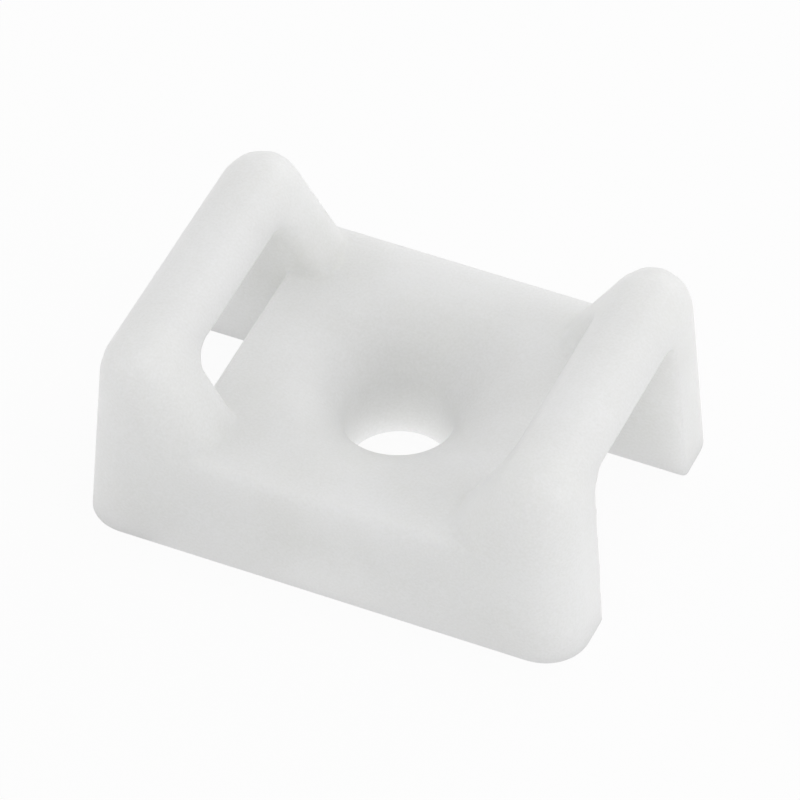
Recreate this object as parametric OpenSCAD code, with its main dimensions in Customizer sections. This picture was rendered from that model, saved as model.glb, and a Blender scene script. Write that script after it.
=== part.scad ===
// Screw-down saddle mount for a cable tie, moulded in one piece from natural nylon.
// The tie runs along X, over the deck and under the bar at each end. The bundle lies
// along Y in the cradle between the bars. Z is up, and the origin is the centre of
// the screw hole on the base plane.

/* [Overall size] */
// Length along the tie
body_l = 22; // [20:0.5:30]
// Width across the tie
body_w = 15.6; // [14.4:0.2:22]
// Height of the end bars
body_h = 9.15; // [8.8:0.05:11.5]
// How far each end face leans in between the base and the top
end_draft = 0.5; // [0:0.1:1]
// How far each side face leans in between the base and the top
side_draft = 0.3; // [0:0.05:1]
// Radius of the four upright corners
corner_r = 1.9; // [1:0.1:2.2]

/* [Cradle and end bars] */
// Height of the deck
deck_h = 5.125; // [4.625:0.125:5.625]
// Small radius along the front and back edges of the deck
deck_edge_r = 0.5; // [0.2:0.05:0.8]
// Steepness of the slopes from the deck up to the bars, in degrees
slope_deg = 57; // [50:1:64]
// Radius of the shoulders along each bar
shoulder_r = 1.55; // [1.3:0.05:1.9]
// Flat on the crest of each bar, between its shoulders
crest_flat = 0.4; // [0.1:0.05:1]
// Radius of the front and back edges of the bars and slopes
rib_r = 1.5; // [1:0.05:1.7]

/* [Tie passage] */
// Width between the legs, for the widest tie
arch_w = 8.3; // [7:0.1:9.5]
// Height of the underside of the bars
arch_h = 7.75; // [7.2:0.05:7.9]
// Radius of the upper corners of each end arch
arch_corner_r = 0.9; // [0.4:0.1:1.6]
// How much wider each arch is on each side at the base
arch_draft = 0.2; // [0:0.05:0.4]
// How far the deck reaches under the lower inner edge of each bar
deck_lap = 0.05; // [0:0.05:0.4]
// Radius of the legs' inner edges, where the passage opens on the slope
leg_edge_r = 1.2; // [0.4:0.1:1.4]
// Radius of the bar's lower inner edge
bar_edge_r = 0.25; // [0.1:0.05:0.4]

/* [Screw hole] */
// Diameter of the hole, for a 4 mm screw with clearance
bore_d = 4.5; // [4.2:0.1:5]
// Height of the straight wall of the hole
bore_l = 3.15; // [2.4:0.05:3.4]
// Diameter where the screw's seat ends and the shallow dish begins
seat_d = 6.8; // [6.2:0.1:7.4]
// Height of that place
seat_h = 4.3; // [3.8:0.1:4.5]
// Diameter of the dish at the deck
dish_d = 10; // [9:0.1:11]

/* [Hollow underside] */
// Diameter of the boss round the screw hole
boss_d = 7.8; // [7.2:0.1:8.6]
// Height of the hollows above the base
pocket_h = 3.1; // [2:0.1:3.3]
// Width of the hollows across the tie
pocket_w = 9.2; // [8.8:0.1:10.6]
// Thickness of the walls that close the hollows at the ends
end_wall_t = 1.4; // [1:0.1:2]
// Width of the rib that joins the boss to the side walls
cross_rib_w = 3.2; // [2:0.1:4]

/* [Hidden] */
// How far a cutting shape runs past the face that it cuts
over = 1;
// Least radius and least flat that are left where one rounded edge runs into another
least = 0.05;
// Steps in a quarter of each rounded edge
round_steps = 9;
round_step = 90 / round_steps;
arch_steps = 6;

// Half the length and half the width of the drafted block at height z
function end_x(z) = body_l / 2 - end_draft * z / body_h;
function side_y(z) = body_w / 2 - side_draft * z / body_h;

// Shoulder centres of the bar, and the slope that is tangent to the inner shoulder
shoulder_z = body_h - shoulder_r;
outer_shoulder_x = end_x(body_h) - shoulder_r;
inner_shoulder_x = outer_shoulder_x - crest_flat;
foot_x = inner_shoulder_x - (shoulder_r + (shoulder_z - deck_h) * cos(slope_deg)) / sin(slope_deg);
function slope_x(z) = foot_x + (z - deck_h) / tan(slope_deg);
deck_end_x = slope_x(arch_h) + deck_lap;

// Points of an arc about centre c
function arc(c, r, from, to, steps) =
    [for (i = [0:steps]) c + r * [cos(from + (to - from) * i / steps), sin(from + (to - from) * i / steps)]];

// Drop of a rounded edge of radius r, at depth d in from the face
function edge_drop(r, d) = d < r ? r - sqrt(r * r - (r - d) * (r - d)) : 0;

// Half of the side outline, from the base under the foot of the slope, out to the end,
// over the bar and back down to the foot. It is convex.
// The angle goes from 0 inside the block to 90 on its side face, and closes the outline in
// round the bars, the slopes, the upright corners and the edge of the deck.
function half_outline(angle) =
    let (
        inset = rib_r * (1 - cos(angle)),
        end_inset = corner_r * (1 - cos(angle)),
        drop = edge_drop(deck_edge_r, corner_r * (1 - sin(angle))),
        r = max(least, shoulder_r - inset),
        outer = [max(inner_shoulder_x + least, outer_shoulder_x + inset - end_inset), shoulder_z],
        inner = [inner_shoulder_x, shoulder_z],
        foot = [foot_x + (inset - drop * cos(slope_deg)) / sin(slope_deg), deck_h - drop]
    )
    concat(
        [[foot.x, 0], [end_x(0) - end_inset, 0]],
        arc(outer, r, 0, 90, round_steps),
        arc(inner, r, 90, 90 + slope_deg, round_steps),
        [foot]
    );

// The whole side outline, with the other end as its mirror image
function outline(angle) =
    let (half = half_outline(angle), n = len(half))
    concat(half, [for (i = [n - 1:-1:0]) [-half[i].x, half[i].y]]);

// Sections through the block: the depth in from each side face follows the angle
angles = [for (i = [0:round_steps]) i * round_step];
stations = concat(
    [for (i = [round_steps:-1:0]) [-1, angles[i]]],
    [for (i = [0:round_steps]) [1, angles[i]]]
);

// One section as points in space: the side faces lean in with height
function section(side, angle) =
    let (share = 1 - corner_r * (1 - sin(angle)) / (body_w / 2))
    [for (p = outline(angle)) [p.x, side * share * side_y(p.y), p.y]];

// The moulding without its holes: legs, bars, slopes and deck as one skin
module blank() {
    n = len(outline(0));
    h = n / 2;
    m = len(stations);
    last = (m - 1) * n;
    points = [for (s = stations) for (p = section(s[0], s[1])) p];
    skin = [for (j = [0:m - 2]) for (i = [0:n - 1])
        [j * n + i, j * n + (i + 1) % n, (j + 1) * n + (i + 1) % n, (j + 1) * n + i]];
    // Each side face is three convex pieces: an ear at each end, and the wall between the feet
    near_x = [for (i = [0:h - 1]) i];
    far_x = [for (i = [h:n - 1]) i];
    between = [h - 1, h, n - 1, 0];
    back = [for (piece = [near_x, far_x, between]) [for (i = piece) last + i]];
    front = [for (piece = [near_x, far_x, between]) [for (i = [len(piece) - 1:-1:0]) piece[i]]];
    polyhedron(points, concat(front, skin, back));
}

// The tie's passage seen from the end: an arch between the two legs, from height z up.
// It can be drawn wider and higher than it is, with its corners starting lower, for the
// rounded rim on the slope.
function passage_end_view(z, wider = 0, higher = 0, lower = 0) =
    let (
        corner_z = arch_h - arch_corner_r - lower,
        corner_y = arch_w / 2 - arch_corner_r,
        foot_y = arch_w / 2 + wider + arch_draft * (corner_z - z) / corner_z,
        corner_h = arch_corner_r + lower + higher,
        corner = [for (p = arc([0, 0], 1, 0, 90, arch_steps))
            [corner_y + p.x * (arch_corner_r + wider), corner_z + p.y * corner_h]],
        far_corner = [for (i = [arch_steps:-1:0]) [-corner[i].x, corner[i].y]]
    )
    concat([[-foot_y, z], [foot_y, z]], corner, far_corner);

// The same passage seen from the side: over the deck, under the bar and down past the deck's end
module passage_side_view() {
    inner_x = foot_x - over;
    outer_x = body_l / 2 + over;
    polygon([
        [inner_x, deck_h], [deck_end_x, deck_h], [deck_end_x, -2 * over],
        [outer_x, -2 * over], [outer_x, arch_h + over], [inner_x, arch_h + over]
    ]);
}

// Rounded rim of the passage on the slope. Each section lies parallel to the slope, and the
// sections widen from inside the passage out to the slope's face. Their corners start a
// little lower than the passage's own, so that the edges of the two cross cleanly.
module passage_rim() {
    inner = [leg_edge_r + over, -least, -least];
    rounded = [for (angle = [round_step:round_step:90])
        [leg_edge_r * (1 - sin(angle)), leg_edge_r * (1 - cos(angle)), bar_edge_r * (1 - cos(angle))]];
    outer = [-over, leg_edge_r, bar_edge_r];
    sections = concat([inner], rounded, [outer]);
    n = len(passage_end_view(deck_h));
    m = len(sections);
    points = [for (s = sections) for (p = passage_end_view(deck_h, s[1], s[2], least))
        [slope_x(p.y) + s[0] / sin(slope_deg), p.x, p.y]];
    skin = [for (j = [0:m - 2]) for (i = [0:n - 1])
        [j * n + i, j * n + (i + 1) % n, (j + 1) * n + (i + 1) % n, (j + 1) * n + i]];
    inside = [for (i = [n - 1:-1:0]) i];
    outside = [for (i = [0:n - 1]) (m - 1) * n + i];
    polyhedron(points, concat([inside], skin, [outside]));
}

// The tie's passage at one end, where its two views meet
module tie_passage() {
    intersection() {
        rotate([90, 0, 90])
            linear_extrude(body_l)
                polygon(passage_end_view(-over));
        rotate([90, 0, 0])
            linear_extrude(body_w, center = true)
                passage_side_view();
    }
}

// Screw hole, its conical seat and the shallow dish, whose slope runs out through the deck
module screw_recess() {
    bore_r = bore_d / 2;
    seat_r = seat_d / 2;
    dish_r = dish_d / 2;
    rim_r = dish_r + least * (dish_r - seat_r) / (deck_h - seat_h);
    rim_h = deck_h + least;
    rotate_extrude($fn = 96)
        polygon([
            [0, -over], [bore_r, -over], [bore_r, bore_l], [seat_r, seat_h],
            [rim_r, rim_h], [rim_r, rim_h + over], [0, rim_h + over]
        ]);
}

// One of the two hollows under the deck, beside the boss
module pocket() {
    start_x = cross_rib_w / 2;
    difference() {
        translate([start_x, -pocket_w / 2, -over])
            cube([deck_end_x - end_wall_t - start_x, pocket_w, pocket_h + over]);
        translate([0, 0, -2 * over])
            cylinder(d = boss_d, h = pocket_h + 3 * over, $fn = 96);
    }
}

// Repeats a shape at the other end
module both_ends() {
    children();
    mirror([1, 0, 0]) children();
}

module mount() {
    color("whitesmoke")
        difference() {
            blank();
            both_ends() tie_passage();
            both_ends() passage_rim();
            both_ends() pocket();
            screw_recess();
        }
}

mount();
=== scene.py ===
import math

import bpy
from mathutils import Matrix, Quaternion, Vector


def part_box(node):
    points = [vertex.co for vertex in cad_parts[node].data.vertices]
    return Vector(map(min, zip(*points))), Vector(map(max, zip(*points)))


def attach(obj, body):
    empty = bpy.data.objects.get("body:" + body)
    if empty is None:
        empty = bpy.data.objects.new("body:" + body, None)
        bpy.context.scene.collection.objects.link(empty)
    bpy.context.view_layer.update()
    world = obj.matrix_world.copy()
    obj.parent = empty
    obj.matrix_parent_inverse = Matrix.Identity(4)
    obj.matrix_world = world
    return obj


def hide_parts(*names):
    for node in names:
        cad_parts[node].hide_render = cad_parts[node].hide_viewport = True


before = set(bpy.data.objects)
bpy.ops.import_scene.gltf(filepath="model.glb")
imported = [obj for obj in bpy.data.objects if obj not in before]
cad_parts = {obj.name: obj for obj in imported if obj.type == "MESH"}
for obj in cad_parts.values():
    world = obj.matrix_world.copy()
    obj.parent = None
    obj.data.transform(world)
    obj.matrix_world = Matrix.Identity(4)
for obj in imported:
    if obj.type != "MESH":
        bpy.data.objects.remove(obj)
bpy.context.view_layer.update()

# ---------------------------------------------------------------------------
# End bars. Each end of the mount rises from the deck in one thick rib: a slope on the
# cradle's side, a round crest, and an upright end that leans in a little with its draft.
# It is moulded in one with the deck, from natural nylon.
# ---------------------------------------------------------------------------
MM = 0.001
mount_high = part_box("mount")[1]
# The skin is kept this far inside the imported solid's faces
skin_gap = 0.002 * MM
half_l = mount_high[0] - skin_gap
half_w = mount_high[1] - skin_gap
bar_h = mount_high[2] - skin_gap
end_draft = 0.5 * MM
side_draft = 0.3 * MM
deck_h = 5.125 * MM
slope = math.radians(57)
crest_r = 1.55 * MM
crest_flat = 0.4 * MM
rib_r = 1.65 * MM
slope_rib_r = 1.85 * MM
corner_r = 1.9 * MM
round_steps = 12
# The slope meets the deck here, from the crest's inner shoulder down
shoulder_h = bar_h - crest_r
foot_x = half_l - end_draft - crest_r - crest_flat - (
    crest_r + (shoulder_h - deck_h) * math.cos(slope)
) / math.sin(slope)
# Blocks start this much too big, and the base is trimmed flat at the end
spare = 1.0 * MM
# Corners nearer to a cut than this lie on it
cut_tolerance = 1e-7
# A face looks along an axis when at least this much of its normal does
facing = 0.9


def one_object(obj):
    """Leaves only this object selected and active."""
    bpy.ops.object.select_all(action="DESELECT")
    obj.select_set(True)
    bpy.context.view_layer.objects.active = obj


def block(name, low, high):
    """A cube primitive between two corners."""
    bpy.ops.object.select_all(action="DESELECT")
    bpy.ops.mesh.primitive_cube_add(size=1)
    obj = bpy.context.object
    obj.name = name
    obj.location = (Vector(low) + Vector(high)) / 2
    obj.scale = Vector(high) - Vector(low)
    bpy.ops.object.transform_apply(location=True, rotation=True, scale=True)
    return obj


def trim(obj, point, outward):
    """Cuts away what lies on the outward side of a plane, and closes the cut."""
    one_object(obj)
    bpy.ops.object.mode_set(mode="EDIT")
    bpy.ops.mesh.select_all(action="SELECT")
    bpy.ops.mesh.bisect(
        plane_co=point, plane_no=Vector(outward).normalized(), use_fill=True,
        clear_outer=True, threshold=cut_tolerance,
    )
    bpy.ops.object.mode_set(mode="OBJECT")


def apply_modifier(obj, kind, **settings):
    """Adds one modifier, sets it and applies it."""
    one_object(obj)
    modifier = obj.modifiers.new(kind.lower(), kind)
    for setting, value in settings.items():
        setattr(modifier, setting, value)
    bpy.ops.object.modifier_apply(modifier=modifier.name)


def round_edges(obj, radius_of):
    """Rounds each edge to the radius that radius_of(first normal, second normal, middle) gives."""
    mesh = obj.data
    faces_at = {}
    for face in mesh.polygons:
        for key in face.edge_keys:
            faces_at.setdefault(key, []).append(face.normal.copy())
    offsets = {}
    for edge in mesh.edges:
        first, second = faces_at[edge.key]
        middle = (mesh.vertices[edge.vertices[0]].co + mesh.vertices[edge.vertices[1]].co) / 2
        radius = radius_of(first, second, middle)
        if radius:
            offsets[edge.index] = radius * math.tan(first.angle(second) / 2)
    widest = max(offsets.values())
    weights = mesh.attributes.get("bevel_weight_edge")
    if weights is None:
        weights = mesh.attributes.new("bevel_weight_edge", "FLOAT", "EDGE")
    for edge in mesh.edges:
        weights.data[edge.index].value = offsets.get(edge.index, 0) / widest
    apply_modifier(
        obj, "BEVEL", limit_method="WEIGHT", width=widest, segments=round_steps,
        offset_type="OFFSET", use_clamp_overlap=False,
    )


def combine(obj, other, operation):
    """Joins another shape to this one or cuts it out, and removes the other."""
    apply_modifier(obj, "BOOLEAN", operation=operation, object=other, solver="EXACT")
    bpy.data.objects.remove(other)


def lean_sides(obj, reach):
    """Trims both side faces to their draft, at this reach from the middle on the base."""
    for side in (-1, 1):
        trim(obj, (0, side * reach, 0), (0, side * bar_h, side_draft))


def bar_radius(first, second, middle):
    """Crest edges, side edges and upright corners of one end bar."""
    on_base = min(first.z, second.z) < -facing
    if on_base:
        return 0
    on_side = max(abs(first.y), abs(second.y)) > facing
    on_top = max(first.z, second.z) > facing
    on_end = max(first.x, second.x) > facing
    if on_side and on_end:
        return corner_r
    if on_side:
        return rib_r if on_top else slope_rib_r
    return crest_r if on_top else 0


def solid_bar():
    """The rib at the +X end, as a block cut to its slope and drafts, then rounded."""
    bar = block("bar", (0, -half_w - spare, -spare), (half_l + spare, half_w + spare, bar_h))
    trim(bar, (half_l, 0, 0), (shoulder_h, 0, end_draft))
    trim(bar, (foot_x, 0, deck_h), (-math.sin(slope), 0, math.cos(slope)))
    lean_sides(bar, half_w)
    round_edges(bar, bar_radius)
    return bar


# ---------------------------------------------------------------------------
# Tie passages. A flat arch between the legs lets the tie in from the end, under the bar and
# out over the deck. The legs' inner edges are well rounded where the passage opens on the
# slope, so that the tie lies round them without a nick.
# ---------------------------------------------------------------------------
arch_half = 4.15 * MM
arch_h = 7.75 * MM
arch_corner_r = 0.9 * MM
arch_draft = 0.2 * MM
leg_edge_r = 0.75 * MM
bar_edge_r = 0.25 * MM
# The slope is told by the X of its normal, and by a close match of the rest
slope_facing = 0.8
close_match = 0.01
# The floor of the passage looks up more than its walls do
wall_upward = 0.1


def upper_side_edge(first, second):
    """Tells an edge between a face that looks up and one that looks sideways."""
    on_top = max(first.z, second.z) > facing
    on_side = max(abs(first.y), abs(second.y)) > facing
    return on_top and on_side


def arch_radius(first, second, middle):
    """The two upper edges of the passage."""
    return arch_corner_r if upper_side_edge(first, second) else 0


def arch_core():
    """The block that the passage at the +X end is cut with."""
    core = block("core", (-spare, -half_w, -2 * spare), (half_l + spare, half_w, arch_h))
    for side in (-1, 1):
        trim(core, (0, side * arch_half, arch_h), (0, side * arch_h, arch_draft))
    round_edges(core, arch_radius)
    return core


def rim_radius(first, second, middle):
    """The passage's rim on the slope, wide on the legs and narrow under the bar."""
    on_slope, on_wall = sorted((first, second), key=lambda normal: normal.x)
    is_slope = on_slope.x < -slope_facing and abs(on_slope.z - math.cos(slope)) < close_match
    in_passage = abs(middle.y) < arch_half + 2 * arch_draft
    is_wall = abs(on_wall.x) < close_match and on_wall.z < wall_upward
    if not (is_slope and in_passage and is_wall):
        return 0
    return bar_edge_r + (leg_edge_r - bar_edge_r) * on_wall.y ** 2


def end_bar():
    """One whole end: the rib with its passage and the rounded rim."""
    bar = solid_bar()
    combine(bar, arch_core(), "DIFFERENCE")
    round_edges(bar, rim_radius)
    return bar


def other_end(obj):
    """Turns a shape of the +X end into the one of the -X end."""
    one_object(obj)
    obj.scale.x = -1
    bpy.ops.object.transform_apply(location=True, rotation=True, scale=True)
    bpy.ops.object.mode_set(mode="EDIT")
    bpy.ops.mesh.select_all(action="SELECT")
    bpy.ops.mesh.normals_make_consistent(inside=False)
    bpy.ops.object.mode_set(mode="OBJECT")
    return obj


mount_body = end_bar()
mount_body.name = "mount_body"
combine(mount_body, other_end(end_bar()), "UNION")

# ---------------------------------------------------------------------------
# Deck. The block between the bars carries the bundle on its flat top. It is as wide as the
# bars, with a small radius along its front and back edges, and ends between the legs just
# under each bar's inner edge.
# ---------------------------------------------------------------------------
deck_edge_r = 0.42 * MM
deck_lap = 0.05 * MM
deck_end_x = foot_x + (arch_h - deck_h) / math.tan(slope) + deck_lap


def deck_radius(first, second, middle):
    """The two upper edges along the tie."""
    return deck_edge_r if upper_side_edge(first, second) else 0


deck = block(
    "deck", (-deck_end_x, -half_w - spare, -spare / 2), (deck_end_x, half_w + spare, deck_h)
)
lean_sides(deck, half_w - 2 * skin_gap)
round_edges(deck, deck_radius)
combine(mount_body, deck, "UNION")

# ---------------------------------------------------------------------------
# Screw hole. A straight bore for the screw's shank opens into a conical seat, and a shallow
# dish eases the seat into the deck. The mould's pin has no sharp edges, so each runs into the
# next in a broad round.
# ---------------------------------------------------------------------------
bore_r = 2.25 * MM
bore_h = 3.15 * MM
seat_r = 3.4 * MM
seat_h = 4.3 * MM
dish_r = 5.0 * MM
bore_edge_r = 1.5 * MM
seat_edge_r = 3.0 * MM
dish_edge_r = 4.0 * MM
# The cutter's brim runs a little above the deck, so that the dish's round has room
brim_r = 6.4 * MM
lift = 0.01 * MM
turn_steps = 96
# Faces of one ring meet at less than this, and their edges stay as they are
least_turn = math.radians(10)


def draw_up(radius, height, last_radius, last_height):
    """Extrudes the selected top face to a new height and widens it to a new radius."""
    bpy.ops.mesh.extrude_region_move(TRANSFORM_OT_translate={"value": (0, 0, height - last_height)})
    wider = radius / last_radius
    bpy.ops.transform.resize(value=(wider, wider, 1), center_override=(0, 0, height))


def select_faces(obj, test):
    """Selects the faces whose middle and normal pass a test."""
    for face in obj.data.polygons:
        face.select = test(face.center, face.normal)
    for edge in obj.data.edges:
        edge.select = False
    for vertex in obj.data.vertices:
        vertex.select = False


def recess_radius(first, second, middle):
    """The rings where the bore, the seat, the dish and the deck meet."""
    if first.angle(second) < least_turn:
        return 0
    rings = ((bore_h, bore_edge_r), (seat_h, seat_edge_r), (deck_h, dish_edge_r))
    for ring_h, radius in rings:
        if abs(middle.z - ring_h) < lift / 2:
            return radius
    return 0


bpy.ops.object.select_all(action="DESELECT")
bpy.ops.mesh.primitive_cylinder_add(
    vertices=turn_steps, radius=bore_r, depth=bore_h + 2 * spare, location=(0, 0, bore_h / 2 - spare)
)
recess = bpy.context.object
bpy.ops.object.transform_apply(location=True, rotation=True, scale=True)
select_faces(recess, lambda middle, normal: normal.z > facing)
bpy.ops.object.mode_set(mode="EDIT")
bpy.ops.mesh.select_mode(type="FACE")
draw_up(seat_r, seat_h, bore_r, bore_h)
draw_up(dish_r, deck_h, seat_r, seat_h)
draw_up(brim_r, deck_h + lift, dish_r, deck_h)
draw_up(brim_r, deck_h + spare, brim_r, deck_h + lift)
bpy.ops.object.mode_set(mode="OBJECT")
round_edges(recess, recess_radius)
combine(mount_body, recess, "DIFFERENCE")

# ---------------------------------------------------------------------------
# Hollow underside. Two pockets beside the screw's boss keep the walls even, with a rib left
# across the middle.
# ---------------------------------------------------------------------------
boss_r = 3.9 * MM
pocket_h = 3.1 * MM
pocket_half_w = 4.6 * MM
end_wall_t = 1.4 * MM
cross_rib_w = 3.2 * MM
# The boss is left by a cylinder that passes well beyond the pocket's block
boss_core_h = 6 * pocket_h


def pocket_core():
    """The block that the pocket on the +X side of the boss is cut with."""
    core = block(
        "pocket", (cross_rib_w / 2, -pocket_half_w, -2 * spare),
        (deck_end_x - end_wall_t, pocket_half_w, pocket_h),
    )
    bpy.ops.object.select_all(action="DESELECT")
    bpy.ops.mesh.primitive_cylinder_add(vertices=turn_steps, radius=boss_r, depth=boss_core_h)
    combine(core, bpy.context.object, "DIFFERENCE")
    return core


combine(mount_body, pocket_core(), "DIFFERENCE")
combine(mount_body, other_end(pocket_core()), "DIFFERENCE")

# ---------------------------------------------------------------------------
# Moulded edges. The mould leaves no edge sharp: the shape is skinned again with an even mesh
# and eased, then trimmed flat on the plane that it stands on.
# ---------------------------------------------------------------------------
skin_step = 0.1 * MM
ease_share = 0.5
ease_rounds = 9
kept_share = 0.42
crease = math.radians(40)
apply_modifier(mount_body, "REMESH", mode="VOXEL", voxel_size=skin_step)
apply_modifier(mount_body, "SMOOTH", factor=ease_share, iterations=ease_rounds)
base_cut = block(
    "base_cut", (-half_l - spare, -half_w - spare, -3 * spare), (half_l + spare, half_w + spare, 0)
)
combine(mount_body, base_cut, "DIFFERENCE")
apply_modifier(mount_body, "DECIMATE", ratio=kept_share)
one_object(mount_body)
bpy.ops.object.shade_smooth_by_angle(angle=crease)

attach(mount_body, "root")
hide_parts("mount")

# How often the nylon's clouds, waves and grain repeat in a metre
cloud_scale = 140
wave_scale = 900
grain_scale = 9000
duller_tone = (0.775, 0.777, 0.765, 1)
lighter_tone = (0.848, 0.852, 0.85, 1)
relief_depth = 0.03 * MM
# Light travels about this far inside the milky nylon
light_depth = 5 * MM


class Value:
    """A shader socket that takes part in sums and products, one Math node for each."""

    def __init__(self, recipe, socket):
        self.recipe = recipe
        self.socket = socket

    def maths(self, operation, first, second):
        return self.recipe.node("ShaderNodeMath", {"operation": operation}, {0: first, 1: second})

    def __add__(self, other):
        return self.maths("ADD", self, other)

    def __radd__(self, other):
        return self.maths("ADD", other, self)

    def __sub__(self, other):
        return self.maths("SUBTRACT", self, other)

    def __rsub__(self, other):
        return self.maths("SUBTRACT", other, self)

    def __mul__(self, other):
        return self.maths("MULTIPLY", self, other)

    def __rmul__(self, other):
        return self.maths("MULTIPLY", other, self)


class Recipe:
    """The nodes of one material or of the surroundings."""

    def __init__(self, owner):
        owner.use_nodes = True
        self.tree = owner.node_tree
        self.tree.nodes.clear()

    def node(self, kind, settings=None, inputs=None, output=0):
        """Adds a node, sets it, then fills its sockets with values or links."""
        made = self.tree.nodes.new(kind)
        for setting, value in (settings or {}).items():
            setattr(made, setting, value)
        for name, value in (inputs or {}).items():
            if isinstance(value, Value):
                self.tree.links.new(value.socket, made.inputs[name])
            else:
                made.inputs[name].default_value = value
        return Value(self, made.outputs[output]) if len(made.outputs) else None


def natural_nylon():
    """Milky translucent nylon: soft clouds in its tone, and a fine matt grain from the mould."""
    material = bpy.data.materials.new("nylon")
    recipe = Recipe(material)
    place = recipe.node("ShaderNodeTexCoord", output="Object")
    cloud = recipe.node("ShaderNodeTexNoise", {}, {
        "Vector": place, "Scale": cloud_scale, "Detail": 3, "Roughness": 0.55, "Distortion": 0.6,
    })
    grain = recipe.node("ShaderNodeTexNoise", {}, {
        "Vector": place, "Scale": grain_scale, "Detail": 2, "Roughness": 0.5,
    })
    wave = recipe.node("ShaderNodeTexNoise", {}, {
        "Vector": place, "Scale": wave_scale, "Detail": 2, "Roughness": 0.5,
    })
    tone = recipe.node("ShaderNodeMix", {"data_type": "RGBA"}, {
        "Factor": cloud * 2 + grain * 1.4 - 1.2, "A": duller_tone, "B": lighter_tone,
    }, "Result")
    relief = recipe.node("ShaderNodeBump", {}, {
        "Strength": 0.25, "Distance": relief_depth, "Height": grain * 0.4 + wave * 0.6,
    })
    shader = recipe.node("ShaderNodeBsdfPrincipled", {}, {
        "Base Color": tone, "Roughness": 0.36 + cloud * 0.08 + grain * 0.1, "IOR": 1.53,
        "Normal": relief, "Subsurface Weight": 1, "Subsurface Radius": (1, 1, 0.96),
        "Subsurface Scale": light_depth,
    })
    recipe.node("ShaderNodeOutputMaterial", {}, {"Surface": shader})
    return material


mount_body.data.materials.clear()
mount_body.data.materials.append(natural_nylon())

# ---------------------------------------------------------------------------
# Floor. A white translucent sheet on a light table, just under the mount. It glows softly,
# most of all right under the mount, so that the nylon is lit from below too. It keeps a faint
# contact shadow.
# ---------------------------------------------------------------------------
floor_gap = 0.02 * MM
sheet_size = 3
paper_white = (0.9, 0.9, 0.9, 1)
# The glow is full up to the first reach, and has fallen to the plain one at the second
bright_reach = 5 * MM
plain_reach = 7.5 * MM
bright_glow = 0.9
plain_glow = 0.38
seen_white = 0.92
bpy.ops.object.select_all(action="DESELECT")
bpy.ops.mesh.primitive_plane_add(size=sheet_size, location=(0, 0, -floor_gap))
bpy.ops.object.transform_apply(location=True, rotation=True, scale=True)
floor = bpy.context.object
floor.name = "floor"


def white_sheet():
    """A sheet that glows in part and reflects the rest, and is seen as nearly its own white."""
    material = bpy.data.materials.new("white_sheet")
    recipe = Recipe(material)
    path = [recipe.node("ShaderNodeLightPath", output=name)
            for name in ("Is Camera Ray", "Is Glossy Ray", "Is Transmission Ray")]
    seen = recipe.node(
        "ShaderNodeMath", {"operation": "ADD", "use_clamp": True}, {0: path[0] + path[1], 1: path[2]}
    )
    paper = recipe.node("ShaderNodeBsdfDiffuse", {}, {"Color": paper_white})
    white = recipe.node("ShaderNodeEmission", {}, {"Color": (1, 1, 1, 1), "Strength": 1})
    place = recipe.node("ShaderNodeTexCoord", output="Object")
    reach = recipe.node("ShaderNodeVectorMath", {"operation": "LENGTH"}, {0: place}, "Value")
    under = recipe.node(
        "ShaderNodeMath", {"operation": "MULTIPLY", "use_clamp": True},
        {0: plain_reach - reach, 1: 1 / (plain_reach - bright_reach)},
    )
    glow = plain_glow + under * (bright_glow - plain_glow)
    surface = recipe.node(
        "ShaderNodeMixShader", {}, {0: glow + seen * (seen_white - glow), 1: paper, 2: white}
    )
    recipe.node("ShaderNodeOutputMaterial", {}, {"Surface": surface})
    return material


floor.data.materials.append(white_sheet())

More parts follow.
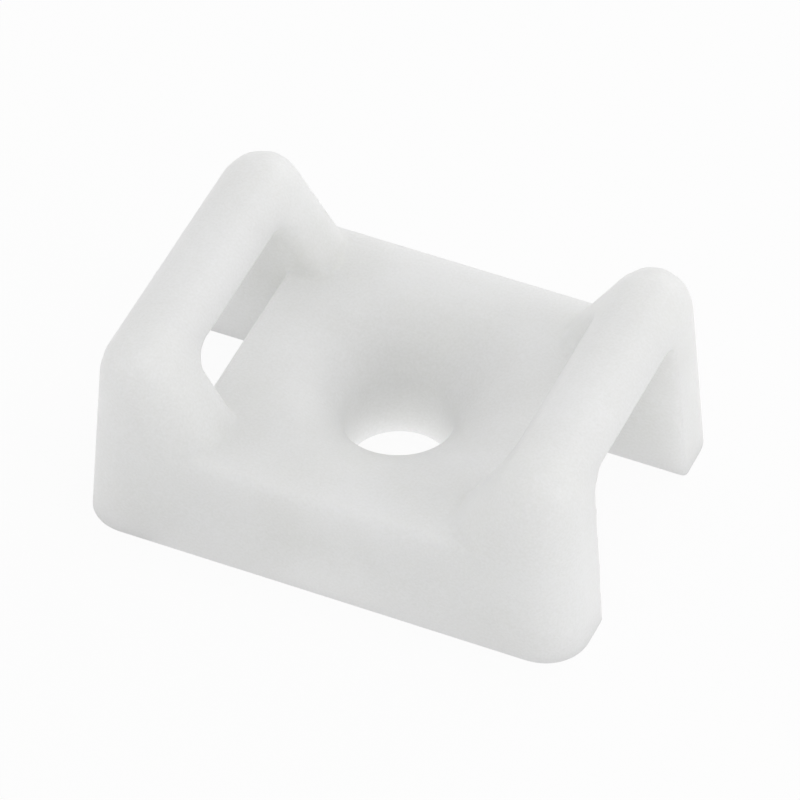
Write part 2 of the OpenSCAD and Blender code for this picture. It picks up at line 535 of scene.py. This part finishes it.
# ---------------------------------------------------------------------------
# Light. Bright even surroundings do most of the work. Broad soft lamps above, behind and
# at both ends shape the bars a little.
# ---------------------------------------------------------------------------
sky_strength = 0.635
world = bpy.data.worlds.new("surroundings")
bpy.context.scene.world = world
surroundings = Recipe(world)
sky = surroundings.node("ShaderNodeBackground", {}, {
    "Color": (1, 1, 1, 1), "Strength": sky_strength,
})
surroundings.node("ShaderNodeOutputWorld", {}, {"Surface": sky})


def soft_lamp(name, place, size, power):
    """A square area lamp that faces the middle of the mount."""
    bpy.ops.object.light_add(type="AREA", location=place)
    lamp = bpy.context.object
    lamp.name = name
    lamp.data.size = size
    lamp.data.energy = power
    ray = Vector((0, 0, bar_h / 2)) - Vector(place)
    lamp.rotation_euler = ray.to_track_quat("-Z", "Y").to_euler()


for lamp_name, place, size, power in (
    ("overhead", (0.04, 0.02, 0.20), 0.16, 0.055),
    ("behind", (0.05, 0.20, 0.09), 0.12, 0.052),
    ("right_end", (0.20, 0.0, 0.07), 0.12, 0.065),
    ("left_end", (-0.18, -0.06, 0.10), 0.12, 0.025),
):
    soft_lamp(lamp_name, place, size, power)

# ---------------------------------------------------------------------------
# Camera. A long lens from the front right and well above, which keeps the mount's edges
# nearly parallel.
# ---------------------------------------------------------------------------
view_side = math.radians(24.405)
view_up = math.radians(45.018)
view_roll = math.radians(-0.65)
view_distance = 0.3178
view_lens = 349.9
# The lens points this far right of and below the middle of the mount
aim_right = 0.0685 * MM
aim_below = 0.351 * MM
camera_data = bpy.data.cameras.new("camera")
camera = bpy.data.objects.new("camera", camera_data)
bpy.context.scene.collection.objects.link(camera)
bpy.context.scene.camera = camera
camera_data.lens = view_lens
camera_data.clip_start = 0.01
camera_data.clip_end = 10
right = Vector((math.cos(view_side), math.sin(view_side), 0))
back = Vector((
    math.sin(view_side) * math.cos(view_up),
    -math.cos(view_side) * math.cos(view_up),
    math.sin(view_up),
))
above = back.cross(right)
aim = Vector((0, 0, mount_high[2] / 2)) + aim_right * right - aim_below * above
camera.location = aim + view_distance * back
camera.rotation_mode = "QUATERNION"
turn = Matrix((right, above, back)).transposed().to_quaternion()
camera.rotation_quaternion = Quaternion(back, view_roll) @ turn

bpy.context.scene.view_settings.view_transform = "Standard"
